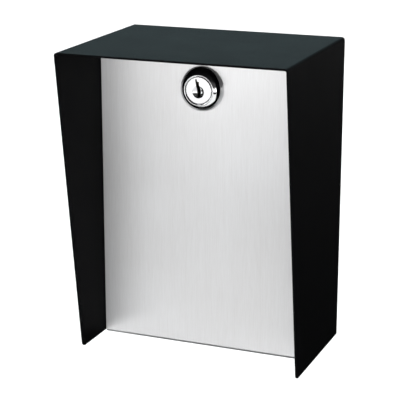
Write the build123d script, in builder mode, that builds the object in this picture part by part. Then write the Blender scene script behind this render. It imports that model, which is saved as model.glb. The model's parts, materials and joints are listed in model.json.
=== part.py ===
"""Wall-mounted ashtray bin: a hooded steel housing with a locked, bottom-hinged door.

All sizes are in millimetres. X runs to the right, -Y runs out of the wall towards the
user, and +Z is up. The origin is on the wall plane, at the centre of the four fixing
holes. A "depth" is a distance out of the wall, so a depth of 40 is y = -40.
"""
import os
from math import radians, tan

from build123d import *

os.makedirs("parts", exist_ok=True)

# ---- Housing -------------------------------------------------------------------------
hood_width = 114.0
hood_height = 154.0
roof_depth = 86.5
foot_depth = 65.2
roof_fall = 1.4  # the roof's front edge is this much lower than its back edge
sheet = 1.0
roof_bend = 1.6  # outer radius of the bends between the roof and the cheeks
foot_corner = 2.2

low = -hood_height / 2
high = hood_height / 2
inner_half = hood_width / 2 - sheet

# ---- Wall fixing ---------------------------------------------------------------------
fixing_spacing_x = 70.0
fixing_spacing_z = 100.0
fixing_radius = 2.75
weld_flange = 8.0

# ---- Door ----------------------------------------------------------------------------
door_front = 40.1  # depth of the door's outer face
door_sheet = 1.2
door_half = inner_half - 0.4
door_foot = low - 0.8
door_top = low + 144.0
door_bend = 1.8
hem_back = 37.0  # depth at which the door's turned-in foot ends
door_back = door_front - door_sheet

# ---- Ash ramp: leads ash from the mouth over the lock, towards the back --------------
ramp_top = low + 143.7
ramp_back = 22.0
ramp_slope = 5.0
ramp_half = door_half - 1.6
ramp_flange_foot = low + 137.0
ramp_gap = 12.5  # half the width left free in the flange for the lock's washer and nut

# ---- Hinge ---------------------------------------------------------------------------
hinge_depth = 36.6
hinge_z = low + 3.3
knuckle_radius = 2.0
pin_radius = 1.0
pin_clearance = 0.06
knuckle_count = 13
knuckle_pitch = 8.0
knuckle_gap = 0.3
leaf_sheet = 0.8
leaf_relief = 2.4  # the leaf plates start this far from the pin's axis
fixed_leaf_back = 24.0
moving_leaf_top = low + 15.0
hinge_half = knuckle_count * knuckle_pitch / 2

# ---- Floor ---------------------------------------------------------------------------
floor_under = low + 5.6
floor_front = 37.4
floor_skirt = 4.6
skirt_back = 3.0
skirt_front = 30.0  # the side skirts stop short of the circle that the door's foot swings through
drain_radius = 2.0
drain_depth = 14.0
drain_places = (-30.0, 0.0, 30.0)
rivet_radius = 1.2
rivet_head_radius = 2.1
rivet_head_height = 0.8
rivet_depth = 28.5
rivet_places = (-42.0, -14.0, 14.0, 42.0)

# ---- Door jambs and bumpers ----------------------------------------------------------
jamb_face = 37.4
jamb_width = 4.5
jamb_back = 28.5
jamb_low = low + 17.0
jamb_high = low + 138.0
bumper_radius = 1.8
bumper_rows = (low + 24.0, low + 131.0)

# ---- Cam lock ------------------------------------------------------------------------
lock_x = -1.5
lock_z = low + 131.45
bezel_radius = 11.0
bezel_rise = 5.3
dome_middle = (3.6, 9.8)  # height above the door and radius, halfway down the dome
bezel_edge = 0.9  # height of the straight band round the foot of the bezel
rim_radius = 7.5
rim_width = 0.55
face_recess = 0.1
barrel_radius = 8.0
barrel_flats = 14.0
barrel_back = 24.1
plug_face_radius = 6.8
plug_face_thick = 1.6
plug_face_bevel = 0.5
plug_radius = 6.2
plug_clearance = 0.05
dish_radius = 3.0
dish_depth = 0.75
dish_centre = (-0.25, -0.8)  # the key guide sits a little low on the plug's face
keyway_top = 5.4
keyway_bottom = -3.6
keyway_depth = 17.0
tail_side = 6.0
tail_corner = 0.6
tail_back = 20.6
wafer_count = 5
wafer_pitch = 2.4
wafer_width = 5.4
wafer_height = 10.4
wafer_thick = 0.8
nut_flats = 20.0
nut_thick = 3.6
washer_thick = 0.6
washer_radius = 10.0
washer_teeth = 12
washer_notch = 2.4
stop_thick = 0.8
cam_thick = 1.8
cam_reach = 17.0
cam_half_width = 5.0
screw_radius = 1.6
screw_head_radius = 3.4
screw_head_height = 2.0
screw_thread_length = 4.0
screw_slot = 0.8
cam_washer_radius = 4.6
cam_washer_thick = 0.7

# ---- Keeper rail ---------------------------------------------------------------------
rail_front = 25.0
rail_high = low + 118.0
rail_low = low + 106.5
rail_shelf_front = 31.5

# ---- Ash bucket ----------------------------------------------------------------------
bucket_half = 50.0
bucket_front = 35.4
bucket_back = 5.4
bucket_sheet = 0.8
bucket_corner = 6.0
bucket_top = low + 99.8
rim_bead = 1.2
bail_z = low + 92.5
bail_arm = 12.0
bail_wire = 1.0
bail_clearance = 0.1
bail_half = 47.6

pieces = []


def keep(piece, name):
    """Label a finished piece and write it to its own STEP file."""
    piece.part.label = name
    export_step(piece.part, f"parts/{name}.step")
    pieces.append(name)


def at_lock(depth):
    """The plane square to the lock's axis, facing out of the wall, at a depth."""
    return Plane(origin=(lock_x, -depth, lock_z), x_dir=(1, 0, 0), z_dir=(0, -1, 0))


# ---- Hood: a roof and two cheeks bent from one sheet ---------------------------------
with BuildPart() as hood_space:
    with BuildSketch(Plane.YZ):
        with BuildLine():
            Polyline(
                (sheet, low - sheet),
                (sheet, high - sheet + roof_fall * sheet / roof_depth),
                (-roof_depth - sheet, high - sheet - roof_fall * (1 + sheet / roof_depth)),
                (-roof_depth - sheet, low - sheet),
                close=True,
            )
        make_face()
    extrude(amount=inner_half, both=True)
    roof_edges = hood_space.edges().filter_by(
        lambda edge: edge.center().Z > high - 4 and edge.length > roof_depth / 2 and abs(edge.center().X) > 1
    )
    fillet(roof_edges, radius=roof_bend - sheet)

with BuildPart() as hood_shell:
    with BuildSketch(Plane.YZ) as cheek:
        with BuildLine():
            Polyline((0, low), (0, high), (-roof_depth, high - roof_fall), (-foot_depth, low), close=True)
        make_face()
        fillet(cheek.vertices().group_by(Axis.Y)[0].sort_by(Axis.X)[0], radius=foot_corner)
    extrude(amount=hood_width / 2, both=True)
    roof_edges = hood_shell.edges().filter_by(
        lambda edge: edge.center().Z > high - 4 and edge.length > roof_depth / 2 and abs(edge.center().X) > 1
    )
    fillet(roof_edges, radius=roof_bend)
    add(hood_space.part, mode=Mode.SUBTRACT)
keep(hood_shell, "hood_shell")

# ---- Back panel: carries the fixing holes, with a weld flange along each cheek -------
back_high = high - sheet - 0.1
with BuildPart() as back_panel:
    with BuildSketch(Plane.XZ):
        with Locations((0, (low + back_high) / 2)):
            Rectangle(2 * inner_half, back_high - low)
        with GridLocations(fixing_spacing_x, fixing_spacing_z, 2, 2):
            Circle(fixing_radius, mode=Mode.SUBTRACT)
    extrude(amount=sheet)
    top_corners = back_panel.edges().filter_by(Axis.Y).group_by(Axis.Z)[-1]
    chamfer(top_corners, length=0.6)
    flange_low = floor_under + sheet + 1.0
    flange_high = back_high - 6.0
    with BuildSketch(Plane.XZ.offset(sheet)):
        for side in (-1, 1):
            with Locations((side * (inner_half - sheet / 2), (flange_low + flange_high) / 2)):
                Rectangle(sheet, flange_high - flange_low)
    extrude(amount=weld_flange)
keep(back_panel, "back_panel")

# ---- Floor: a shelf with skirts turned down on three sides ---------------------------
with BuildPart() as floor_panel:
    with BuildSketch(Plane.XY.offset(floor_under)):
        with Locations((0, -(sheet + floor_front) / 2)):
            Rectangle(2 * inner_half, floor_front - sheet)
        with Locations(*[(x, -drain_depth) for x in drain_places]):
            Circle(drain_radius, mode=Mode.SUBTRACT)
    extrude(amount=sheet)
    with BuildSketch(Plane.XY.offset(floor_under)):
        for side in (-1, 1):
            with Locations((side * (inner_half - sheet / 2), -(skirt_front + skirt_back) / 2)):
                Rectangle(sheet, skirt_front - skirt_back)
        with Locations((0, -1.5 * sheet)):
            Rectangle(2 * inner_half - 8.0, sheet)
    extrude(amount=-floor_skirt)
    for x in rivet_places:
        with Locations(Plane.XY.offset(floor_under + sheet)):
            with Locations((x, -rivet_depth)):
                CounterSinkHole(radius=rivet_radius, counter_sink_radius=rivet_head_radius, depth=sheet)
keep(floor_panel, "floor_panel")


# ---- Hinge: two leaves with alternate knuckles round one pin -------------------------
def knuckle_span(index):
    """The X range of one knuckle."""
    start = -hinge_half + index * knuckle_pitch
    return start + knuckle_gap / 2, start + knuckle_pitch - knuckle_gap / 2


pin_y = -hinge_depth
with BuildPart() as hinge_fixed_leaf:
    for index in range(0, knuckle_count, 2):
        start, end = knuckle_span(index)
        with BuildSketch(Plane.YZ.offset(start)):
            with Locations((pin_y, hinge_z)):
                Circle(knuckle_radius)
            with Locations((pin_y + leaf_relief / 2, floor_under - leaf_sheet / 2)):
                Rectangle(leaf_relief, leaf_sheet)
            with Locations((pin_y, hinge_z)):
                Circle(pin_radius, mode=Mode.SUBTRACT)
        extrude(amount=end - start)
    with BuildSketch(Plane.XY.offset(floor_under - leaf_sheet)):
        leaf_length = hinge_depth - leaf_relief - fixed_leaf_back
        with Locations((0, -fixed_leaf_back - leaf_length / 2)):
            Rectangle(2 * hinge_half, leaf_length)
        with Locations(*[(x, -rivet_depth) for x in rivet_places]):
            Circle(rivet_radius, mode=Mode.SUBTRACT)
    extrude(amount=leaf_sheet)
keep(hinge_fixed_leaf, "hinge_fixed_leaf")

with BuildPart() as hinge_moving_leaf:
    for index in range(1, knuckle_count, 2):
        start, end = knuckle_span(index)
        with BuildSketch(Plane.YZ.offset(start)):
            with Locations((pin_y, hinge_z)):
                Circle(knuckle_radius)
            with Locations((leaf_sheet / 2 - door_back, hinge_z + leaf_relief / 2)):
                Rectangle(leaf_sheet, leaf_relief)
            with Locations((pin_y, hinge_z)):
                Circle(pin_radius + pin_clearance, mode=Mode.SUBTRACT)
        extrude(amount=end - start)
    with BuildSketch(Plane.XZ.offset(door_back)):
        leaf_low = hinge_z + leaf_relief
        with Locations((0, (leaf_low + moving_leaf_top) / 2)):
            Rectangle(2 * hinge_half, moving_leaf_top - leaf_low)
    extrude(amount=-leaf_sheet)
keep(hinge_moving_leaf, "hinge_moving_leaf")

with BuildPart() as hinge_pin:
    with BuildSketch(Plane.YZ):
        with Locations((pin_y, hinge_z)):
            Circle(pin_radius)
    extrude(amount=hinge_half + 0.6, both=True)
    chamfer(hinge_pin.edges(), length=0.25)
keep(hinge_pin, "hinge_pin")

with BuildPart() as hinge_rivets:
    head_under = floor_under - leaf_sheet
    floor_top = floor_under + sheet
    for x in rivet_places:
        with BuildSketch(Plane.XZ.offset(rivet_depth)):
            with BuildLine():
                Polyline(
                    (x, head_under - rivet_head_height),
                    (x + 0.7 * rivet_head_radius, head_under - rivet_head_height),
                    (x + rivet_head_radius, head_under - 0.4 * rivet_head_height),
                    (x + rivet_head_radius, head_under),
                    (x + rivet_radius, head_under),
                    (x + rivet_radius, floor_top - 0.9 * sheet),
                    (x + rivet_head_radius - 0.05, floor_top - 0.05),
                    (x, floor_top - 0.05),
                    close=True,
                )
            make_face()
        revolve(axis=Axis((x, -rivet_depth, 0), (0, 0, 1)))
keep(hinge_rivets, "hinge_rivets")


# ---- Jambs: the angles welded inside the cheeks that the door closes against ---------
def jamb(side):
    """The section of one jamb, drawn from above on the side -1 or 1."""
    with BuildPart() as angle:
        with BuildSketch(Plane.XY.offset(jamb_low)) as section:
            with Locations((side * (inner_half - sheet / 2), -(jamb_back + jamb_face) / 2)):
                Rectangle(sheet, jamb_face - jamb_back)
            with Locations((side * (inner_half - jamb_width / 2), sheet / 2 - jamb_face)):
                Rectangle(jamb_width, sheet)
            corners = section.vertices().group_by(Axis.Y)[0]
            fillet(corners.sort_by(Axis.X)[0 if side < 0 else -1], radius=sheet)
        extrude(amount=jamb_high - jamb_low)
    return angle


jamb_left = jamb(-1)
keep(jamb_left, "jamb_left")
jamb_right = jamb(1)
keep(jamb_right, "jamb_right")

with BuildPart() as door_bumpers:
    bumper_height = door_back - jamb_face - 0.05
    for side in (-1, 1):
        for row in bumper_rows:
            with BuildSketch(Plane.XZ.offset(jamb_face)):
                with Locations((side * (inner_half - jamb_width / 2), row)):
                    Circle(bumper_radius)
            extrude(amount=bumper_height)
    tips = door_bumpers.edges().filter_by(GeomType.CIRCLE).group_by(Axis.Y)[0]
    fillet(tips, radius=0.8)
keep(door_bumpers, "door_bumpers")

# ---- Keeper rail: the cross member that the cam turns down behind --------------------
with BuildPart() as keeper_rail:
    with BuildSketch(Plane.YZ) as rail_section:
        with BuildLine():
            Polyline(
                (-rail_front, rail_high),
                (sheet - rail_front, rail_high),
                (sheet - rail_front, rail_low),
                (-rail_shelf_front, rail_low),
                (-rail_shelf_front, rail_low + sheet),
                (-rail_front, rail_low + sheet),
                close=True,
            )
        make_face()
        fillet(rail_section.vertices().group_by(Axis.Y)[0].sort_by(Axis.X)[-1], radius=sheet)
    extrude(amount=inner_half - sheet, both=True)
    for side in (-1, 1):
        with BuildSketch(Plane.XZ.offset(rail_front - 10.0)):
            with Locations((side * (inner_half - sheet / 2), (rail_low + rail_high) / 2)):
                Rectangle(sheet, rail_high - rail_low)
        extrude(amount=10.0)
keep(keeper_rail, "keeper_rail")

# ---- Door: a flat face with a soft turned-in foot, and a double-D hole for the lock --
with BuildPart() as door_panel:
    with BuildSketch(Plane.YZ) as door_section:
        with BuildLine():
            Polyline(
                (-hem_back, door_foot),
                (-door_front, door_foot),
                (-door_front, door_top),
                (-door_back, door_top),
                (-door_back, door_foot + door_sheet),
                (-hem_back, door_foot + door_sheet),
                close=True,
            )
        make_face()
        foot_corners = door_section.vertices().group_by(Axis.Y)[0].sort_by(Axis.X)
        fillet(foot_corners[0], radius=door_bend)
        inner_corners = door_section.vertices().filter_by(
            lambda corner: abs(corner.X + door_back) < 0.01 and corner.Y < door_top - 1
        )
        fillet(inner_corners, radius=door_bend - door_sheet)
    extrude(amount=door_half, both=True)
    with BuildSketch(at_lock(door_back - 1.0)):
        Circle(barrel_radius + 0.1)
        Rectangle(barrel_flats + 0.2, 4 * barrel_radius, mode=Mode.INTERSECT)
    extrude(amount=door_sheet + 2.0, mode=Mode.SUBTRACT)
keep(door_panel, "door_panel")

# ---- Ash ramp: an angle welded behind the door's top edge ----------------------------
ramp_drop = (door_back - ramp_back) * tan(radians(ramp_slope))
with BuildPart() as ash_ramp:
    with BuildSketch(Plane.YZ) as ramp_section:
        with BuildLine():
            Polyline(
                (-door_back, ramp_flange_foot),
                (-door_back, ramp_top),
                (-ramp_back, ramp_top - ramp_drop),
                (-ramp_back, ramp_top - ramp_drop - sheet),
                (sheet - door_back, ramp_top - 1.1 * sheet),
                (sheet - door_back, ramp_flange_foot),
                close=True,
            )
        make_face()
        ramp_corner = ramp_section.vertices().sort_by(Axis.Y)[-1]
        fillet(ramp_corner, radius=sheet)
    extrude(amount=ramp_half, both=True)
    with BuildSketch(Plane.XZ.offset(door_back)):
        with Locations((lock_x, ramp_flange_foot)):
            Rectangle(2 * ramp_gap, 2 * (lock_z + washer_radius + 0.4 - ramp_flange_foot))
    extrude(amount=-1.2 * sheet, mode=Mode.SUBTRACT)
keep(ash_ramp, "ash_ramp")

# ---- Lock body: domed bezel and threaded barrel with two flats -----------------------
bezel_front = door_front + bezel_rise
with BuildPart() as lock_body:
    with BuildSketch(Plane.YZ.offset(lock_x)):
        with BuildLine():
            ThreePointArc(
                (-bezel_front, lock_z + rim_radius),
                (-door_front - dome_middle[0], lock_z + dome_middle[1]),
                (-door_front - bezel_edge, lock_z + bezel_radius),
            )
            Polyline(
                (-door_front - bezel_edge, lock_z + bezel_radius),
                (-door_front, lock_z + bezel_radius),
                (-door_front, lock_z),
                (-bezel_front, lock_z),
                (-bezel_front, lock_z + rim_radius),
            )
        make_face()
    revolve(axis=Axis((lock_x, 0, lock_z), (0, 1, 0)))
    with BuildSketch(at_lock(barrel_back)):
        Circle(barrel_radius)
        Rectangle(barrel_flats, 4 * barrel_radius, mode=Mode.INTERSECT)
    extrude(amount=door_front - barrel_back)
    with BuildSketch(at_lock(bezel_front)):
        Circle(rim_radius - rim_width)
    extrude(amount=-face_recess - plug_face_thick, mode=Mode.SUBTRACT)
    with BuildSketch(at_lock(barrel_back)):
        Circle(plug_radius + plug_clearance)
    extrude(amount=bezel_rise + door_front - barrel_back, mode=Mode.SUBTRACT)
keep(lock_body, "lock_body")

# ---- Lock plug: the turning cylinder, with its keyway, wafer slots and square tail ---
plug_front = bezel_front - face_recess
with BuildPart() as lock_plug:
    with BuildSketch(at_lock(plug_front - plug_face_thick)):
        Circle(plug_face_radius)
    extrude(amount=plug_face_thick)
    chamfer(lock_plug.faces().sort_by(Axis.Y)[0].edges(), length=plug_face_bevel)
    with BuildSketch(at_lock(barrel_back)):
        Circle(plug_radius)
    extrude(amount=plug_front - plug_face_thick - barrel_back)
    with BuildSketch(at_lock(tail_back)):
        RectangleRounded(tail_side, tail_side, tail_corner)
    extrude(amount=barrel_back - tail_back)
    with BuildSketch(at_lock(tail_back)):
        Circle(screw_radius)
    extrude(amount=screw_thread_length - cam_washer_thick + 0.2, mode=Mode.SUBTRACT)
    dish_ball = (dish_radius**2 + dish_depth**2) / (2 * dish_depth)
    with Locations((lock_x + dish_centre[0], dish_depth - plug_front - dish_ball, lock_z + dish_centre[1])):
        Sphere(dish_ball, mode=Mode.SUBTRACT)
    with BuildSketch(at_lock(plug_front)):
        with BuildLine():
            Polyline(
                (-1.85, keyway_top),
                (-1.0, keyway_top),
                (-0.8, 4.25),
                (0.1, 4.25),
                (0.25, 2.5),
                (0.65, 1.9),
                (0.95, -0.8),
                (0.95, -2.2),
                (0.75, keyway_bottom),
                (-0.8, keyway_bottom),
                (-1.0, -0.9),
                (-1.25, 1.4),
                (-1.45, 2.8),
                close=True,
            )
        make_face()
    extrude(amount=-keyway_depth, mode=Mode.SUBTRACT)
    wafer_depths = [plug_front - 3.2 - wafer_pitch * (index + 0.5) for index in range(wafer_count)]
    for depth in wafer_depths:
        with BuildSketch(at_lock(depth - 0.1)):
            Rectangle(wafer_width + 0.1, wafer_height + 0.1)
        extrude(amount=wafer_thick + 0.2, mode=Mode.SUBTRACT)
keep(lock_plug, "lock_plug")

with BuildPart() as lock_wafers:
    for depth in wafer_depths:
        with BuildSketch(at_lock(depth)):
            Rectangle(wafer_width, wafer_height)
            Rectangle(2.6, wafer_height - 2.0, mode=Mode.SUBTRACT)
        extrude(amount=wafer_thick)
keep(lock_wafers, "lock_wafers")

# ---- Nut and toothed washer that hold the lock to the door ---------------------------
with BuildPart() as lock_washer:
    with BuildSketch(at_lock(door_back - washer_thick)):
        Circle(washer_radius)
        Circle(barrel_radius + 0.1, mode=Mode.SUBTRACT)
        with PolarLocations(washer_radius, washer_teeth):
            Rectangle(washer_notch, 1.0, mode=Mode.SUBTRACT)
    extrude(amount=washer_thick)
keep(lock_washer, "lock_washer")

with BuildPart() as lock_nut:
    nut_front = door_back - washer_thick
    with BuildSketch(at_lock(nut_front - nut_thick)):
        RegularPolygon(nut_flats / 2, 6, major_radius=False)
    extrude(amount=nut_thick)
    with BuildSketch(at_lock(nut_front - nut_thick)):
        Circle(nut_flats / 2 + 0.9)
    extrude(amount=nut_thick, mode=Mode.INTERSECT)
    with BuildSketch(at_lock(nut_front - nut_thick)):
        Circle(barrel_radius)
    extrude(amount=nut_thick, mode=Mode.SUBTRACT)
keep(lock_nut, "lock_nut")

# ---- Stop washer, cam, washer and screw on the plug's tail ---------------------------
stop_front = barrel_back - 0.1
with BuildPart() as stop_washer:
    with BuildSketch(at_lock(stop_front - stop_thick)):
        Circle(plug_face_radius + 0.4)
        with Locations((0, plug_face_radius)):
            Rectangle(3.0, 3.0)
        RectangleRounded(tail_side, tail_side, tail_corner, mode=Mode.SUBTRACT)
    extrude(amount=stop_thick)
keep(stop_washer, "stop_washer")

cam_front = stop_front - stop_thick
with BuildPart() as lock_cam:
    with BuildSketch(at_lock(cam_front - cam_thick)):
        Circle(plug_radius + 0.6)
        with Locations((cam_reach / 2 - cam_half_width / 2, 0)):
            Rectangle(cam_reach - cam_half_width, 2 * cam_half_width)
        with Locations((cam_reach - cam_half_width, 0)):
            Circle(cam_half_width)
        RectangleRounded(tail_side, tail_side, tail_corner, mode=Mode.SUBTRACT)
    extrude(amount=cam_thick)
keep(lock_cam, "lock_cam")

with BuildPart() as cam_washer:
    with BuildSketch(at_lock(tail_back - cam_washer_thick)):
        Circle(cam_washer_radius)
        Circle(screw_radius + 0.1, mode=Mode.SUBTRACT)
    extrude(amount=cam_washer_thick)
keep(cam_washer, "cam_washer")

head_front = tail_back - cam_washer_thick
head_back = head_front - screw_head_height
with BuildPart() as cam_screw:
    with BuildSketch(at_lock(head_front)):
        Circle(screw_head_radius)
    extrude(amount=-screw_head_height)
    fillet(cam_screw.faces().sort_by(Axis.Y)[-1].edges(), radius=screw_head_height / 2)
    with BuildSketch(at_lock(head_front)):
        Circle(screw_radius)
    extrude(amount=screw_thread_length)
    with BuildSketch(at_lock(head_back)):
        Rectangle(4.5 * screw_slot, screw_slot)
        Rectangle(screw_slot, 4.5 * screw_slot)
    extrude(amount=screw_head_height / 2, mode=Mode.SUBTRACT)
keep(cam_screw, "cam_screw")

# ---- Ash bucket: a drawn liner with a beaded rim, and its drop-down bail --------------
bucket_depth = bucket_front - bucket_back
bucket_middle = -(bucket_front + bucket_back) / 2
bucket_floor = floor_under + sheet
with BuildPart() as ash_bucket:
    with BuildSketch(Plane.XY.offset(bucket_floor)):
        with Locations((0, bucket_middle)):
            RectangleRounded(2 * bucket_half, bucket_depth, bucket_corner)
    extrude(amount=bucket_top - bucket_floor)
    fillet(ash_bucket.faces().sort_by(Axis.Z)[0].edges(), radius=2.5)
    offset(amount=-bucket_sheet, openings=ash_bucket.faces().sort_by(Axis.Z)[-1])
    with BuildSketch(Plane.XY.offset(bucket_top - rim_bead)):
        with Locations((0, bucket_middle)):
            RectangleRounded(2 * (bucket_half + rim_bead), bucket_depth + 2 * rim_bead, bucket_corner + rim_bead)
            RectangleRounded(
                2 * (bucket_half - bucket_sheet),
                bucket_depth - 2 * bucket_sheet,
                bucket_corner - bucket_sheet,
                mode=Mode.SUBTRACT,
            )
    extrude(amount=2 * rim_bead)
    rim_edges = ash_bucket.edges().filter_by(
        lambda edge: edge.center().Z > bucket_top - 2 * rim_bead
        and (abs(edge.center().X) > bucket_half + 0.2 or abs(edge.center().Y - bucket_middle) > bucket_depth / 2 + 0.2)
    )
    fillet(rim_edges, radius=1.0)
    with BuildSketch(Plane.YZ.offset(-bucket_half - 2)):
        with Locations((bucket_middle, bail_z)):
            Circle(bail_wire + bail_clearance)
    extrude(amount=2 * bucket_half + 4, mode=Mode.SUBTRACT)
keep(ash_bucket, "ash_bucket")

bail_low = bail_z - bail_arm
with BuildPart() as bucket_bail:
    with BuildLine() as bail_line:
        FilletPolyline(
            (-bucket_half - 0.6, bucket_middle, bail_z),
            (-bail_half, bucket_middle, bail_z),
            (-bail_half, bucket_middle, bail_low),
            (bail_half, bucket_middle, bail_low),
            (bail_half, bucket_middle, bail_z),
            (bucket_half + 0.6, bucket_middle, bail_z),
            radius=1.3,
        )
    with BuildSketch(Plane(origin=bail_line.line @ 0, z_dir=bail_line.line % 0)):
        Circle(bail_wire)
    sweep()
keep(bucket_bail, "bucket_bail")

print(f"{len(pieces)} pieces")
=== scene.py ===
"""The looks of the wall-mounted ashtray bin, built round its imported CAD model.

Everything is in metres in the CAD's own frame: +X right, -Y out of the wall, +Z up.
"""
import json
import math

import bmesh
import bpy
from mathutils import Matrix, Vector


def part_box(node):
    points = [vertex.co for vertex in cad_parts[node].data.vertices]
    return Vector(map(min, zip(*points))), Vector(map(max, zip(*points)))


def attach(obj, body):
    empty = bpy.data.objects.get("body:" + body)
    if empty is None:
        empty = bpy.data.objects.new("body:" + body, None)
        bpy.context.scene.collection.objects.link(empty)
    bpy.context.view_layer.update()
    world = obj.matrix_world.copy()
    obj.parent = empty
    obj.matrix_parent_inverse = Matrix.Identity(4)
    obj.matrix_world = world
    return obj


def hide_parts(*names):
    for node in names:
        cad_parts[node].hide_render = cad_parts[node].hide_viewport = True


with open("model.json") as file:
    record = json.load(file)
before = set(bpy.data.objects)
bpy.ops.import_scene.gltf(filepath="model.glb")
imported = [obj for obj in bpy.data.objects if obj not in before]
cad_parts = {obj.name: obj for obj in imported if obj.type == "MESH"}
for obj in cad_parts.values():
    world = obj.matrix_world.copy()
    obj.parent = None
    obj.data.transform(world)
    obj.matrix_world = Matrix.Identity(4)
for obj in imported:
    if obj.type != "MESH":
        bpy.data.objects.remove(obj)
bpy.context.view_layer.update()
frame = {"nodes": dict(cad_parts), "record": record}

MM = 0.001

# ---- Measures: the boxes come from the CAD frame, the rest repeats its sections -------
HOOD_LOW, HOOD_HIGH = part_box("hood_shell")
DOOR_LOW, DOOR_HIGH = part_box("door_panel")
LOCK_LOW, LOCK_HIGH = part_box("lock_body")
PLUG_LOW, PLUG_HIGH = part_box("lock_plug")

# Hood and door
SHEET = 1.0 * MM
ROOF_BEND = 1.6 * MM  # outer radius of the bends between the roof and the cheeks
ROOF_FALL = 1.4 * MM  # the roof's front edge is this much lower than its back edge
FOOT_DEPTH = 65.2 * MM
FOOT_CORNER = 2.2 * MM
DOOR_FRONT = DOOR_LOW.y
DOOR_SHEET = 1.2 * MM
DOOR_BEND = 1.8 * MM
HOLE_ROOM = 0.1 * MM
HOOD_EDGE = 0.22 * MM  # how far the sharp edges of each piece are broken
DOOR_EDGE = 0.15 * MM
PLUG_EDGE = 0.05 * MM

# Lock body
AXIS_X = (LOCK_LOW.x + LOCK_HIGH.x) / 2
AXIS_Z = (LOCK_LOW.z + LOCK_HIGH.z) / 2
BEZEL_FRONT = LOCK_LOW.y
BEZEL_RADIUS = (LOCK_HIGH.x - LOCK_LOW.x) / 2
BARREL_BACK = LOCK_HIGH.y
BARREL_RADIUS = 8.0 * MM
BARREL_HALF = 7.0 * MM  # from the axis to each of the barrel's two flats
RIM_OUT = 7.5 * MM
RIM_IN = 7.1 * MM
RIM_ROUND = ((0.0, 0.10), (0.05, 0.03), (0.13, 0.0))  # mm in from the rim's side, mm back from its front
DOME_TILTS = (23, 84)  # degrees of slope beside the rim and at the foot
DOME_STEPS = 28
DOME_GAP = 0.06 * MM  # the dome starts this far outside the rim
DOME_DROP = 0.16 * MM  # and this far behind its front
BAND_HEIGHT = 0.7 * MM  # of the straight band round the dome's foot
FOOT_CHAMFER = 0.15 * MM
BODY_BORE = 6.3 * MM
SEAT_ROOM = 0.05 * MM  # between the plug's head and the step that it rests on
THREAD_PITCH = 1.0 * MM
THREAD_DEPTH = 0.45 * MM
THREAD_START = 1.4 * MM
THREAD_FORM = ((0.10, 0), (0.42, 1), (0.58, 1), (0.90, 0))  # part of the pitch, and 1 at the crest
TURNED_STEPS = 128
BODY_CREASE = 32  # degrees between faces, past which an edge stays sharp
PLUG_CREASE = 20

# Lock plug
PLUG_RADIUS = (PLUG_HIGH.x - PLUG_LOW.x) / 2
TAIL_BACK = PLUG_HIGH.y
FACE_RECESS = 0.1 * MM
FACE_THICK = 1.6 * MM
FACE_BEVEL = 0.5 * MM
BEVEL_TILTS = (36, 60)
PLUG_FRONT = BEZEL_FRONT + FACE_RECESS
PLUG_BARREL = 6.2 * MM
PLUG_CHAMFER = 0.2 * MM
DISH_RADIUS = 3.0 * MM
DISH_DEPTH = 0.75 * MM
DISH_X = -0.25 * MM
DISH_Z = -0.8 * MM
TAIL_HALF = 3.0 * MM
KEYWAY_DEPTH = 17.0 * MM
KEYWAY = (  # mm from the axis, across and up
    (-1.85, 5.4),
    (-1.0, 5.4),
    (-0.8, 4.25),
    (0.1, 4.25),
    (0.25, 2.5),
    (0.65, 1.9),
    (0.95, -0.8),
    (0.95, -2.2),
    (0.75, -3.6),
    (-0.8, -3.6),
    (-1.0, -0.9),
    (-1.25, 1.4),
    (-1.45, 2.8),
)


# ---- Node maths: a socket that takes part in Python expressions ----------------------
class Wire:
    """A socket of a material's node tree, with the arithmetic it needs."""

    def __init__(self, finish, socket):
        self.finish = finish
        self.socket = socket

    def _maths(self, operation, *values):
        return self.finish.add("ShaderNodeMath", {"operation": operation}, *values)

    def __add__(self, other):
        return self._maths("ADD", self, other)

    __radd__ = __add__

    def __mul__(self, other):
        return self._maths("MULTIPLY", self, other)

    __rmul__ = __mul__

    def clipped(self):
        """The same value, held between 0 and 1."""
        return self.finish.add("ShaderNodeMath", {"operation": "ADD", "use_clamp": True}, self, 0.0)


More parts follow.
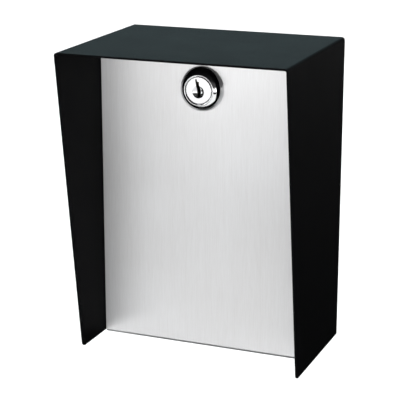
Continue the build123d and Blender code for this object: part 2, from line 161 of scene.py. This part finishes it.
class Finish:
    """A material made of nodes round one Principled shader."""

    def __init__(self, name, colour, roughness, metallic=0.0, **constants):
        self.material = bpy.data.materials.new(name)
        self.material.use_nodes = True
        self.tree = self.material.node_tree
        self.shader = next(node for node in self.tree.nodes if node.type == "BSDF_PRINCIPLED")
        self.material.diffuse_color = (*colour, 1.0)
        self.shader.inputs["Base Color"].default_value = (*colour, 1.0)
        self.shader.inputs["Roughness"].default_value = roughness
        self.shader.inputs["Metallic"].default_value = metallic
        for socket, value in constants.items():
            self.shader.inputs[socket.replace("_", " ")].default_value = value
        self.place = self.add("ShaderNodeTexCoord", {}, output="Object")

    def add(self, kind, settings, *values, output=0, **named):
        """Adds a node, sets it up, feeds its sockets in order or by name, and returns an output."""
        node = self.tree.nodes.new(kind)
        for name, value in settings.items():
            if name == "stops":
                for element, (position, shade) in zip(node.color_ramp.elements, value):
                    element.position = position
                    element.color = shade
            else:
                setattr(node, name, value)
        for key, value in [*enumerate(values), *named.items()]:
            socket = node.inputs[key.replace("_", " ") if isinstance(key, str) else key]
            if isinstance(value, Wire):
                self.tree.links.new(value.socket, socket)
            else:
                socket.default_value = value
        return Wire(self, node.outputs[output])

    def stretched(self, across, upward, outward=None):
        """Object coordinates scaled so that one unit is the given size in metres along X, Z and Y."""
        scale = (1 / across, 1 / (outward or across), 1 / upward)
        return self.add("ShaderNodeMapping", {}, Vector=self.place, Scale=scale)

    def noise(self, size, detail=2.0, roughness=0.5, vector=None):
        """Noise of a feature size in metres, or on a vector that is already scaled."""
        scale = 1.0 if vector else 1 / size
        place = vector or self.place
        look = {"Scale": scale, "Detail": detail, "Roughness": roughness}
        return self.add("ShaderNodeTexNoise", {}, Vector=place, **look)

    def tint(self, factor, first, second):
        """A colour that runs from the first to the second as the factor goes from 0 to 1."""
        stops = [(0.0, (*first, 1.0)), (1.0, (*second, 1.0))]
        return self.add("ShaderNodeValToRGB", {"stops": stops}, factor, output="Color")

    def feed(self, **links):
        """Links varying values to the shader's own sockets."""
        for socket, wire in links.items():
            self.tree.links.new(wire.socket, self.shader.inputs[socket.replace("_", " ")])

    def bump(self, height, distance, strength=1.0, below=None):
        """A bumped normal from a height, over another bump if one is given."""
        named = {"Height": height, "Distance": distance, "Strength": strength}
        if below:
            named["Normal"] = below
        return self.add("ShaderNodeBump", {}, output="Normal", **named)


def black_powder_coat():
    finish = Finish("black_powder_coat", (0.0085, 0.0092, 0.0100), 0.5, Specular_IOR_Level=0.02)
    patches = finish.noise(22 * MM, detail=3.0)
    grain = finish.noise(0.55 * MM, detail=4.0, roughness=0.62)
    peel = finish.noise(1.6 * MM, detail=1.0)
    speck = (grain * 0.75 + patches * 0.25).clipped()
    finish.feed(
        Base_Color=finish.tint(speck, (0.0006, 0.0006, 0.0007), (0.0055, 0.0056, 0.0064)),
        Roughness=(0.40 + grain * 0.16 + patches * 0.08).clipped(),
    )
    soft = finish.bump(peel, 0.02 * MM, 0.6)
    finish.feed(Normal=finish.bump(grain, 0.06 * MM, 1.0, below=soft))
    return finish.material


def brushed_stainless():
    finish = Finish("brushed_stainless", (0.68, 0.68, 0.69), 0.34, 0.80, Anisotropic=0.93)
    broad = finish.noise(1, detail=3.0, vector=finish.stretched(2.4 * MM, 90 * MM))
    fine = finish.noise(1, detail=4.0, roughness=0.7, vector=finish.stretched(0.5 * MM, 13 * MM))
    hair = finish.noise(1, detail=2.0, vector=finish.stretched(0.14 * MM, 5 * MM))
    streak = (fine * 0.5 + broad * 0.2 + hair * 0.3).clipped()
    cloud = finish.noise(55 * MM, detail=1.0)
    shade = (streak * 0.65 + cloud * 0.35).clipped()
    finish.feed(
        Base_Color=finish.tint(shade, (0.515, 0.50, 0.49), (0.845, 0.86, 0.88)),
        Roughness=(0.335 + fine * 0.06 + broad * 0.04).clipped(),
    )
    finish.feed(Normal=finish.bump(hair * 0.5 + fine * 0.5, 0.010 * MM, 0.5))
    return finish.material


def polished_chrome():
    finish = Finish("polished_chrome", (0.70, 0.705, 0.71), 0.05, 1.0)
    smear = finish.noise(2.6 * MM, detail=3.0)
    finish.feed(
        Base_Color=finish.tint(smear, (0.67, 0.675, 0.68), (0.73, 0.735, 0.74)),
        Roughness=(0.025 + smear * 0.06).clipped(),
    )
    return finish.material


def lock_face_nickel():
    finish = Finish("lock_face_nickel", (0.60, 0.60, 0.605), 0.13, 1.0)
    smear = finish.noise(3.2 * MM, detail=2.0)
    scratch = finish.noise(1, detail=3.0, vector=finish.stretched(1.4 * MM, 0.10 * MM, 1.4 * MM))
    finish.feed(
        Base_Color=finish.tint(smear, (0.565, 0.565, 0.57), (0.605, 0.605, 0.61)),
        Roughness=(0.10 + smear * 0.05 + scratch * 0.03).clipped(),
        Normal=finish.bump(scratch, 0.001 * MM, 0.3),
    )
    return finish.material


def zinc_plate():
    finish = Finish("zinc_plate", (0.60, 0.62, 0.64), 0.3, 1.0)
    film = finish.noise(3.5 * MM, detail=3.0)
    grain = finish.noise(0.3 * MM, detail=3.0)
    finish.feed(
        Base_Color=finish.tint(film, (0.53, 0.56, 0.60), (0.70, 0.69, 0.66)),
        Roughness=(0.26 + grain * 0.16).clipped(),
        Normal=finish.bump(grain, 0.006 * MM, 0.5),
    )
    return finish.material


def plain_steel():
    finish = Finish("plain_steel", (0.52, 0.52, 0.53), 0.34, 1.0)
    mill = finish.noise(1, detail=4.0, vector=finish.stretched(9 * MM, 0.25 * MM, 0.25 * MM))
    finish.feed(
        Base_Color=finish.tint(mill, (0.44, 0.44, 0.455), (0.60, 0.60, 0.605)),
        Roughness=(0.28 + mill * 0.16).clipped(),
        Normal=finish.bump(mill, 0.008 * MM, 0.5),
    )
    return finish.material


def lock_brass():
    finish = Finish("lock_brass", (0.66, 0.50, 0.24), 0.32, 1.0)
    grain = finish.noise(0.4 * MM, detail=3.0)
    finish.feed(
        Base_Color=finish.tint(grain, (0.58, 0.43, 0.19), (0.74, 0.57, 0.29)),
        Roughness=(0.26 + grain * 0.15).clipped(),
        Normal=finish.bump(grain, 0.005 * MM, 0.5),
    )
    return finish.material


# Painted shade: the keyway's dull metal walls are coloured near-black for the shade deep inside the slot,
# mottled at random.
def keyway_painted_shade():
    finish = Finish("keyway_painted_shade", (0.035, 0.031, 0.025), 0.5, 0.6)
    shade_mottle = finish.noise(0.6 * MM, detail=3.0)
    finish.feed(
        Base_Color=finish.tint(shade_mottle, (0.020, 0.018, 0.014), (0.055, 0.048, 0.036)),
        Roughness=(0.40 + shade_mottle * 0.2).clipped(),
    )
    return finish.material


def galvanised_steel():
    finish = Finish("galvanised_steel", (0.50, 0.52, 0.54), 0.42, 1.0)
    spangle = finish.add(
        "ShaderNodeTexVoronoi", {"feature": "F1"}, Vector=finish.place, Scale=1 / (7 * MM), output="Color"
    )
    shade = finish.add("ShaderNodeSeparateColor", {}, spangle, output="Red")
    grain = finish.noise(0.8 * MM, detail=3.0)
    mix = (shade * 0.6 + grain * 0.4).clipped()
    finish.feed(
        Base_Color=finish.tint(mix, (0.42, 0.44, 0.46), (0.60, 0.62, 0.64)),
        Roughness=(0.34 + shade * 0.18).clipped(),
        Normal=finish.bump(grain, 0.01 * MM, 0.4),
    )
    return finish.material


def black_rubber():
    finish = Finish("black_rubber", (0.018, 0.018, 0.018), 0.75)
    grain = finish.noise(0.3 * MM, detail=3.0)
    finish.feed(
        Base_Color=finish.tint(grain, (0.012, 0.012, 0.012), (0.026, 0.026, 0.026)),
        Roughness=(0.66 + grain * 0.16).clipped(),
        Normal=finish.bump(grain, 0.02 * MM, 0.5),
    )
    return finish.material


FINISHES = {
    make.__name__: make()
    for make in (
        black_powder_coat,
        brushed_stainless,
        polished_chrome,
        lock_face_nickel,
        zinc_plate,
        plain_steel,
        lock_brass,
        keyway_painted_shade,
        galvanised_steel,
        black_rubber,
    )
}


def coat(piece, slot):
    """Gives a piece the finish of one of the record's slots."""
    piece.data.materials.clear()
    piece.data.materials.append(FINISHES[slot])


# ---- Hand tools: small steps of edit-mode modelling ----------------------------------
def nothing_selected():
    """Leaves object mode with nothing selected."""
    if bpy.context.object and bpy.context.object.mode != "OBJECT":
        bpy.ops.object.mode_set(mode="OBJECT")
    bpy.ops.object.select_all(action="DESELECT")


def named(name):
    """Names the new primitive and opens it in edit mode."""
    piece = bpy.context.object
    piece.name = name
    piece.data.name = name
    bpy.ops.object.transform_apply(location=True, rotation=True, scale=True)
    bpy.ops.object.mode_set(mode="EDIT")
    return piece


def pick(kind, test):
    """In edit mode, selects the vertices, edges or faces whose middle and normal pass the test."""
    bpy.ops.mesh.select_all(action="DESELECT")
    bpy.ops.mesh.select_mode(type={"verts": "VERT", "edges": "EDGE", "faces": "FACE"}[kind])
    mesh = bmesh.from_edit_mesh(bpy.context.object.data)
    for element in getattr(mesh, kind):
        corners = [element] if kind == "verts" else element.verts
        middle = sum((v.co for v in corners), Vector()) / len(corners)
        if test(middle, element):
            element.select = True
    mesh.select_flush_mode()
    bmesh.update_edit_mesh(bpy.context.object.data)


def near(value, target, room=0.02 * MM):
    """True if a measure is a target's, give or take a little."""
    return abs(value - target) < room


def fixed(piece, *modifiers):
    """Closes edit mode, then adds and applies modifiers given as (type, settings)."""
    if piece.mode != "OBJECT":
        bpy.ops.object.mode_set(mode="OBJECT")
    nothing_selected()
    piece.select_set(True)
    bpy.context.view_layer.objects.active = piece
    for kind, settings in modifiers:
        modifier = piece.modifiers.new(kind.title(), kind)
        for name, value in settings.items():
            setattr(modifier, name, value)
        bpy.ops.object.modifier_apply(modifier=modifier.name)
    return piece


def smooth(piece, angle):
    """Smooth shading, except over edges sharper than an angle in degrees."""
    nothing_selected()
    piece.select_set(True)
    bpy.context.view_layer.objects.active = piece
    bpy.ops.object.shade_smooth_by_angle(angle=math.radians(angle))


def turned(name, outline, steps):
    """A piece of revolution round the lock's axis, from a closed outline of (radius, y) points."""
    nothing_selected()
    mesh = bpy.data.meshes.new(name)
    piece = bpy.data.objects.new(name, mesh)
    bpy.context.scene.collection.objects.link(piece)
    points = [(AXIS_X + radius, y, AXIS_Z) for radius, y in outline]
    mesh.from_pydata(points, [(i, (i + 1) % len(points)) for i in range(len(points))], [])
    piece.select_set(True)
    bpy.context.view_layer.objects.active = piece
    bpy.ops.object.mode_set(mode="EDIT")
    bpy.ops.mesh.select_all(action="SELECT")
    bpy.ops.mesh.spin(steps=steps, angle=math.tau, center=(AXIS_X, 0, AXIS_Z), axis=(0, 1, 0))
    bpy.ops.mesh.select_all(action="SELECT")
    bpy.ops.mesh.remove_doubles(threshold=0.001 * MM)
    bpy.ops.mesh.normals_make_consistent(inside=False)
    bpy.ops.object.mode_set(mode="OBJECT")
    return piece


def flatten(half_width):
    """In edit mode, cuts two flats beside the lock's axis and closes them."""
    for side in (-1, 1):
        bpy.ops.mesh.select_all(action="SELECT")
        flat = (AXIS_X + side * half_width, 0, 0)
        bpy.ops.mesh.bisect(plane_co=flat, plane_no=(side, 0, 0), clear_outer=True, use_fill=True)


def block(name, low, high):
    """A box between two corners, for cutting with."""
    nothing_selected()
    low, high = Vector(low), Vector(high)
    bpy.ops.mesh.primitive_cube_add(size=1, location=(low + high) / 2, scale=high - low)
    piece = named(name)
    return fixed(piece)


def cut(piece, cutter, operation="DIFFERENCE"):
    """Cuts a piece with another one, whose finish the cut takes, and throws the other one away."""
    settings = {"object": cutter, "operation": operation, "solver": "EXACT", "material_mode": "TRANSFER"}
    fixed(piece, ("BOOLEAN", settings))
    bpy.data.objects.remove(cutter)


SHARP_EDGES = {"limit_method": "ANGLE", "angle_limit": math.radians(50)}


# ---- Hood: one sheet, bent at the roof's two sides -----------------------------------
def make_hood():
    nothing_selected()
    middle = (HOOD_LOW + HOOD_HIGH) / 2
    bpy.ops.mesh.primitive_cube_add(size=1, location=middle, scale=HOOD_HIGH - HOOD_LOW)
    hood = named("hood")
    pick("faces", lambda at, face: face.normal.z < -0.5 or abs(face.normal.y) > 0.5)
    bpy.ops.mesh.delete(type="FACE")
    pick("verts", lambda at, corner: near(at.y, HOOD_LOW.y) and near(at.z, HOOD_HIGH.z))
    bpy.ops.transform.translate(value=(0, 0, -ROOF_FALL))
    pick("verts", lambda at, corner: near(at.y, HOOD_LOW.y) and near(at.z, HOOD_LOW.z))
    bpy.ops.transform.translate(value=(0, -FOOT_DEPTH - HOOD_LOW.y, 0))
    bpy.ops.mesh.bevel(offset=FOOT_CORNER, segments=6, affect="VERTICES")
    pick("edges", lambda at, edge: at.z > HOOD_HIGH.z - 2 * ROOF_FALL and abs(at.x) > 0.9 * HOOD_HIGH.x)
    bpy.ops.mesh.bevel(offset=ROOF_BEND, segments=7, affect="EDGES")
    fixed(
        hood,
        ("SOLIDIFY", {"thickness": SHEET, "offset": -1.0, "use_even_offset": True}),
        ("BEVEL", {"width": HOOD_EDGE, "segments": 3, "harden_normals": True, **SHARP_EDGES}),
    )
    coat(hood, "black_powder_coat")
    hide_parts("hood_shell")
    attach(hood, "housing")


# ---- Door: a flat face with a soft turned-in foot, and a hole for the lock ------------
def make_door():
    nothing_selected()
    height = DOOR_HIGH.z - DOOR_LOW.z
    bpy.ops.mesh.primitive_plane_add(
        size=1, location=(0, DOOR_FRONT, DOOR_LOW.z + height / 2), rotation=(math.pi / 2, 0, 0)
    )
    bpy.context.object.scale = (2 * DOOR_HIGH.x, height, 1)
    door = named("door")
    pick("edges", lambda at, edge: near(at.z, DOOR_LOW.z))
    bpy.ops.mesh.extrude_region_move(TRANSFORM_OT_translate={"value": (0, DOOR_HIGH.y - DOOR_FRONT, 0)})
    pick("edges", lambda at, edge: near(at.y, DOOR_FRONT) and near(at.z, DOOR_LOW.z))
    bpy.ops.mesh.bevel(offset=DOOR_BEND, segments=8, affect="EDGES")
    bpy.ops.mesh.select_all(action="SELECT")
    bpy.ops.mesh.normals_make_consistent(inside=False)
    fixed(door)
    face = max(door.data.polygons, key=lambda polygon: polygon.area)
    if face.normal.y > 0:
        door.data.flip_normals()
    fixed(door, ("SOLIDIFY", {"thickness": DOOR_SHEET, "offset": -1.0, "use_even_offset": True}))

    nothing_selected()
    bpy.ops.mesh.primitive_cylinder_add(
        vertices=96,
        radius=BARREL_RADIUS + HOLE_ROOM,
        depth=5 * DOOR_SHEET,
        location=(AXIS_X, DOOR_FRONT, AXIS_Z),
        rotation=(math.pi / 2, 0, 0),
    )
    cutter = named("door_hole_cutter")
    flatten(BARREL_HALF + HOLE_ROOM)
    cut(door, fixed(cutter))
    fixed(door, ("BEVEL", {"width": DOOR_EDGE, "segments": 2, "harden_normals": True, **SHARP_EDGES}))
    coat(door, "brushed_stainless")
    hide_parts("door_panel")
    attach(door, "door")


# ---- Lock body: polished dome with a fine rim, and a threaded barrel with two flats --
def arc(start, end, start_tilt, end_tilt, steps):
    """Points (radius, y) along a bent stretch whose slope runs from one tilt to the other."""
    tilts = [math.radians(start_tilt + (end_tilt - start_tilt) * (i + 0.5) / steps) for i in range(steps)]
    along = [sum(math.cos(tilt) for tilt in tilts[:i]) for i in range(steps + 1)]
    down = [sum(math.sin(tilt) for tilt in tilts[:i]) for i in range(steps + 1)]
    return [
        (
            start[0] + (end[0] - start[0]) * across / along[-1],
            start[1] + (end[1] - start[1]) * fall / down[-1],
        )
        for across, fall in zip(along, down)
    ]


def make_lock_body():
    seat = PLUG_FRONT + FACE_THICK + SEAT_ROOM
    band = DOOR_FRONT - BAND_HEIGHT
    outline = [(BARREL_HALF, DOOR_FRONT), (BEZEL_RADIUS - FOOT_CHAMFER, DOOR_FRONT)]
    outline += [(BEZEL_RADIUS, DOOR_FRONT - FOOT_CHAMFER), (BEZEL_RADIUS, band)]
    dome = arc((RIM_OUT + DOME_GAP, BEZEL_FRONT + DOME_DROP), (BEZEL_RADIUS, band), *DOME_TILTS, DOME_STEPS)
    outline += reversed(dome[:-1])
    outline += [(RIM_OUT - inward * MM, BEZEL_FRONT + back * MM) for inward, back in RIM_ROUND]
    outline += [(RIM_IN + outward * MM, BEZEL_FRONT + back * MM) for outward, back in reversed(RIM_ROUND)]
    outline += [(RIM_IN, seat), (BODY_BORE, seat), (BODY_BORE, BARREL_BACK)]
    root = BARREL_RADIUS - THREAD_DEPTH
    start = DOOR_FRONT + THREAD_START
    outline += [(root, BARREL_BACK)]
    for turn in range(int((BARREL_BACK - start) / THREAD_PITCH)):
        back = BARREL_BACK - turn * THREAD_PITCH
        outline += [(root + crest * THREAD_DEPTH, back - part * THREAD_PITCH) for part, crest in THREAD_FORM]
    outline += [(root, start), (BARREL_HALF, start)]
    body = turned("lock_body_turned", outline, TURNED_STEPS)
    behind = DOOR_FRONT + 0.02 * MM
    for side in (-1, 1):
        inner = AXIS_X + side * BARREL_HALF
        outer = AXIS_X + side * 2 * BARREL_HALF
        low = (min(inner, outer), behind, AXIS_Z - BARREL_RADIUS)
        high = (max(inner, outer), BARREL_BACK + MM, AXIS_Z + BARREL_RADIUS)
        cut(body, block("flat_cutter", low, high))
    smooth(body, BODY_CREASE)
    coat(body, "polished_chrome")
    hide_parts("lock_body")
    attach(body, "door")


# ---- Lock plug: bevelled face with a dished key guide, stepped keyway and square tail -
def make_lock_plug():
    edge = PLUG_RADIUS - FACE_BEVEL
    seat = PLUG_FRONT + FACE_THICK
    outline = [(0, PLUG_FRONT), (edge, PLUG_FRONT)]
    outline += arc((edge, PLUG_FRONT), (PLUG_RADIUS, PLUG_FRONT + FACE_BEVEL), *BEVEL_TILTS, 6)[1:]
    outline += [(PLUG_RADIUS, seat), (PLUG_BARREL, seat), (PLUG_BARREL, BARREL_BACK - PLUG_CHAMFER)]
    outline += [(PLUG_BARREL - PLUG_CHAMFER, BARREL_BACK), (0, BARREL_BACK)]
    plug = turned("lock_plug_turned", outline, TURNED_STEPS)
    coat(plug, "lock_face_nickel")

    ball_radius = (DISH_RADIUS**2 + DISH_DEPTH**2) / (2 * DISH_DEPTH)
    nothing_selected()
    bpy.ops.mesh.primitive_uv_sphere_add(
        segments=128,
        ring_count=96,
        radius=ball_radius,
        location=(AXIS_X + DISH_X, PLUG_FRONT + DISH_DEPTH - ball_radius, AXIS_Z + DISH_Z),
        rotation=(math.pi / 2, 0, 0),
    )
    ball = named("dish_cutter")
    ball.data.materials.append(FINISHES["lock_face_nickel"])
    cut(plug, fixed(ball))

    nothing_selected()
    mesh = bpy.data.meshes.new("keyway_cutter")
    keyway = bpy.data.objects.new("keyway_cutter", mesh)
    bpy.context.scene.collection.objects.link(keyway)
    corners = [(AXIS_X + x * MM, PLUG_FRONT - MM, AXIS_Z + z * MM) for x, z in KEYWAY]
    mesh.from_pydata(corners, [], [range(len(corners))])
    keyway.select_set(True)
    bpy.context.view_layer.objects.active = keyway
    bpy.ops.object.mode_set(mode="EDIT")
    bpy.ops.mesh.select_all(action="SELECT")
    bpy.ops.mesh.extrude_region_move(TRANSFORM_OT_translate={"value": (0, KEYWAY_DEPTH + MM, 0)})
    bpy.ops.mesh.select_all(action="SELECT")
    bpy.ops.mesh.normals_make_consistent(inside=False)
    # The keyway's walls take the painted shade finish.
    mesh.materials.append(FINISHES["keyway_painted_shade"])
    cut(plug, fixed(keyway))

    tail_low = (AXIS_X - TAIL_HALF, BARREL_BACK - MM, AXIS_Z - TAIL_HALF)
    tail = block("plug_tail", tail_low, (AXIS_X + TAIL_HALF, TAIL_BACK, AXIS_Z + TAIL_HALF))
    tail.data.materials.append(FINISHES["lock_face_nickel"])
    cut(plug, tail, "UNION")
    fixed(plug, ("BEVEL", {"width": PLUG_EDGE, "segments": 2, **SHARP_EDGES}))
    smooth(plug, PLUG_CREASE)
    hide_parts("lock_plug")
    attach(plug, "lock_cylinder")


# ---- Camera, stage and lights --------------------------------------------------------
CAMERA_TURN = math.radians(22.2)
CAMERA_RISE = math.radians(15.7)
CAMERA_AIM = Vector((-2.52, -41.03, -0.94)) * MM
CAMERA_REACH = 0.6729
CAMERA_LENS = 123.4
CAMERA_SENSOR = 36.0
FLOOR_Z = HOOD_LOW.z - 0.15
FLOOR_SIZE = 24
BACKDROP_RADIUS = 6.0
SKY_STRENGTH = 0.08
SUN_STRENGTH = 4.2
SUN_SPREAD = math.radians(50)
SUN_TILT = math.radians(10)
WHITE = (1, 1, 1)
SOFT_LIGHTS = (  # name, place, point it faces, width, height, power in watts, colour
    ("back_softbox", (-0.6, 1.5, 0.55), (0, 0, 0.05), 1.4, 0.5, 4.0, (0.70, 1.0, 1.06)),
    ("front_panel", (-0.24, -1.5, -0.1), (0, 0, 0.02), 0.95, 0.22, 1.3, WHITE),
    ("left_panel", (-1.15, -0.75, -0.11), (0, 0, 0), 0.8, 0.2, 0.55, WHITE),
    ("right_panel", (0.5, -1.4, -0.1), (0, 0, 0), 0.5, 0.2, 0.8, WHITE),
    ("key_glint", (0.70, -0.72, -0.04), (0, 0, 0.055), 0.22, 0.28, 0.35, WHITE),
)
CARD_Z = FLOOR_Z + 2 * MM
# Glossy-only black cards paint shade into reflections: under_card stands in for the shade beneath the object,
# glint_gap for a dark band beside the lock's glint, left_flag darkens the door's reflection towards its left
# side.
DARK_CARDS = (  # name, front left corner, back right corner
    ("glint_gap", (0.44, -1.0), (0.95, -0.58)),
    ("left_flag", (-3.0, -0.62), (-0.45, 1.0)),
    ("under_card", (-0.5, -0.19), (1.0, 2.4)),
)


def make_camera():
    turn, rise = CAMERA_TURN, CAMERA_RISE
    back = Vector((math.sin(turn) * math.cos(rise), -math.cos(turn) * math.cos(rise), math.sin(rise)))
    lens = bpy.data.cameras.new("camera")
    lens.lens = CAMERA_LENS
    lens.sensor_width = CAMERA_SENSOR
    camera = bpy.data.objects.new("camera", lens)
    camera.location = CAMERA_AIM + back * CAMERA_REACH
    camera.rotation_euler = back.to_track_quat("Z", "Y").to_euler()
    bpy.context.scene.collection.objects.link(camera)
    bpy.context.scene.camera = camera


def soft_light(name, place, aim, width, height, power, colour):
    """A rectangular soft light at a place, turned to face a point."""
    lamp = bpy.data.lights.new(name, "AREA")
    lamp.shape = "RECTANGLE"
    lamp.size = width
    lamp.size_y = height
    lamp.energy = power
    lamp.color = colour
    light = bpy.data.objects.new(name, lamp)
    light.location = place
    light.rotation_euler = (Vector(place) - Vector(aim)).to_track_quat("Z", "Y").to_euler()
    bpy.context.scene.collection.objects.link(light)


def dark_card(name, low, high):
    """A level black card that only glossy surfaces see: painted shade in their reflections, which keeps the
    pale floor out of their darker sides.
    """
    nothing_selected()
    middle = (Vector(low) + Vector(high)) / 2
    bpy.ops.mesh.primitive_plane_add(size=1, location=(*middle, CARD_Z))
    card = bpy.context.object
    card.name = name
    card.scale = (high[0] - low[0], high[1] - low[1], 1)
    bpy.ops.object.transform_apply(location=True, rotation=True, scale=True)
    black = Finish("black_card", (0.004, 0.004, 0.004), 1.0, Specular_IOR_Level=0.0)
    card.data.materials.append(black.material)
    card.visible_camera = False
    card.visible_shadow = False
    card.visible_diffuse = False


def pale_backdrop():
    """A white dome that only the camera sees, so that a low view isn't set against a dark sky."""
    nothing_selected()
    bpy.ops.mesh.primitive_uv_sphere_add(segments=64, ring_count=32, radius=BACKDROP_RADIUS)
    dome = bpy.context.object
    dome.name = "pale_backdrop"
    white = Finish("backdrop_white", (0, 0, 0), 1.0, Emission_Color=(1, 1, 1, 1), Emission_Strength=1.0)
    dome.data.materials.append(white.material)
    dome.visible_diffuse = False
    dome.visible_glossy = False
    dome.visible_shadow = False


def make_stage():
    nothing_selected()
    bpy.ops.mesh.primitive_plane_add(size=FLOOR_SIZE, location=(0, 0, FLOOR_Z))
    floor = bpy.context.object
    floor.name = "floor"
    bpy.ops.object.transform_apply(location=True, rotation=True, scale=True)
    paper = Finish("pale_floor", (0.9, 0.9, 0.9), 0.9)
    floor.data.materials.append(paper.material)
    pale_backdrop()
    world = bpy.data.worlds.new("studio")
    world.use_nodes = True
    sky = world.node_tree.nodes["Background"]
    sky.inputs["Color"].default_value = (*WHITE, 1)
    sky.inputs["Strength"].default_value = SKY_STRENGTH
    bpy.context.scene.world = world
    bpy.context.scene.view_settings.view_transform = "Standard"
    sun = bpy.data.lights.new("overhead", "SUN")
    sun.energy = SUN_STRENGTH
    sun.angle = SUN_SPREAD
    overhead = bpy.data.objects.new("overhead", sun)
    overhead.rotation_euler = (SUN_TILT, 0, 0)
    bpy.context.scene.collection.objects.link(overhead)
    for light in SOFT_LIGHTS:
        soft_light(*light)
    for card in DARK_CARDS:
        dark_card(*card)


make_camera()
make_stage()
make_hood()
make_door()
make_lock_body()
make_lock_plug()

SLOT_OF = {part["node"]: part["material_slot"] for part in frame["record"]["subparts"]}
for node, piece in frame["nodes"].items():
    piece.data.materials.clear()
    piece.data.materials.append(FINISHES[SLOT_OF[node]])
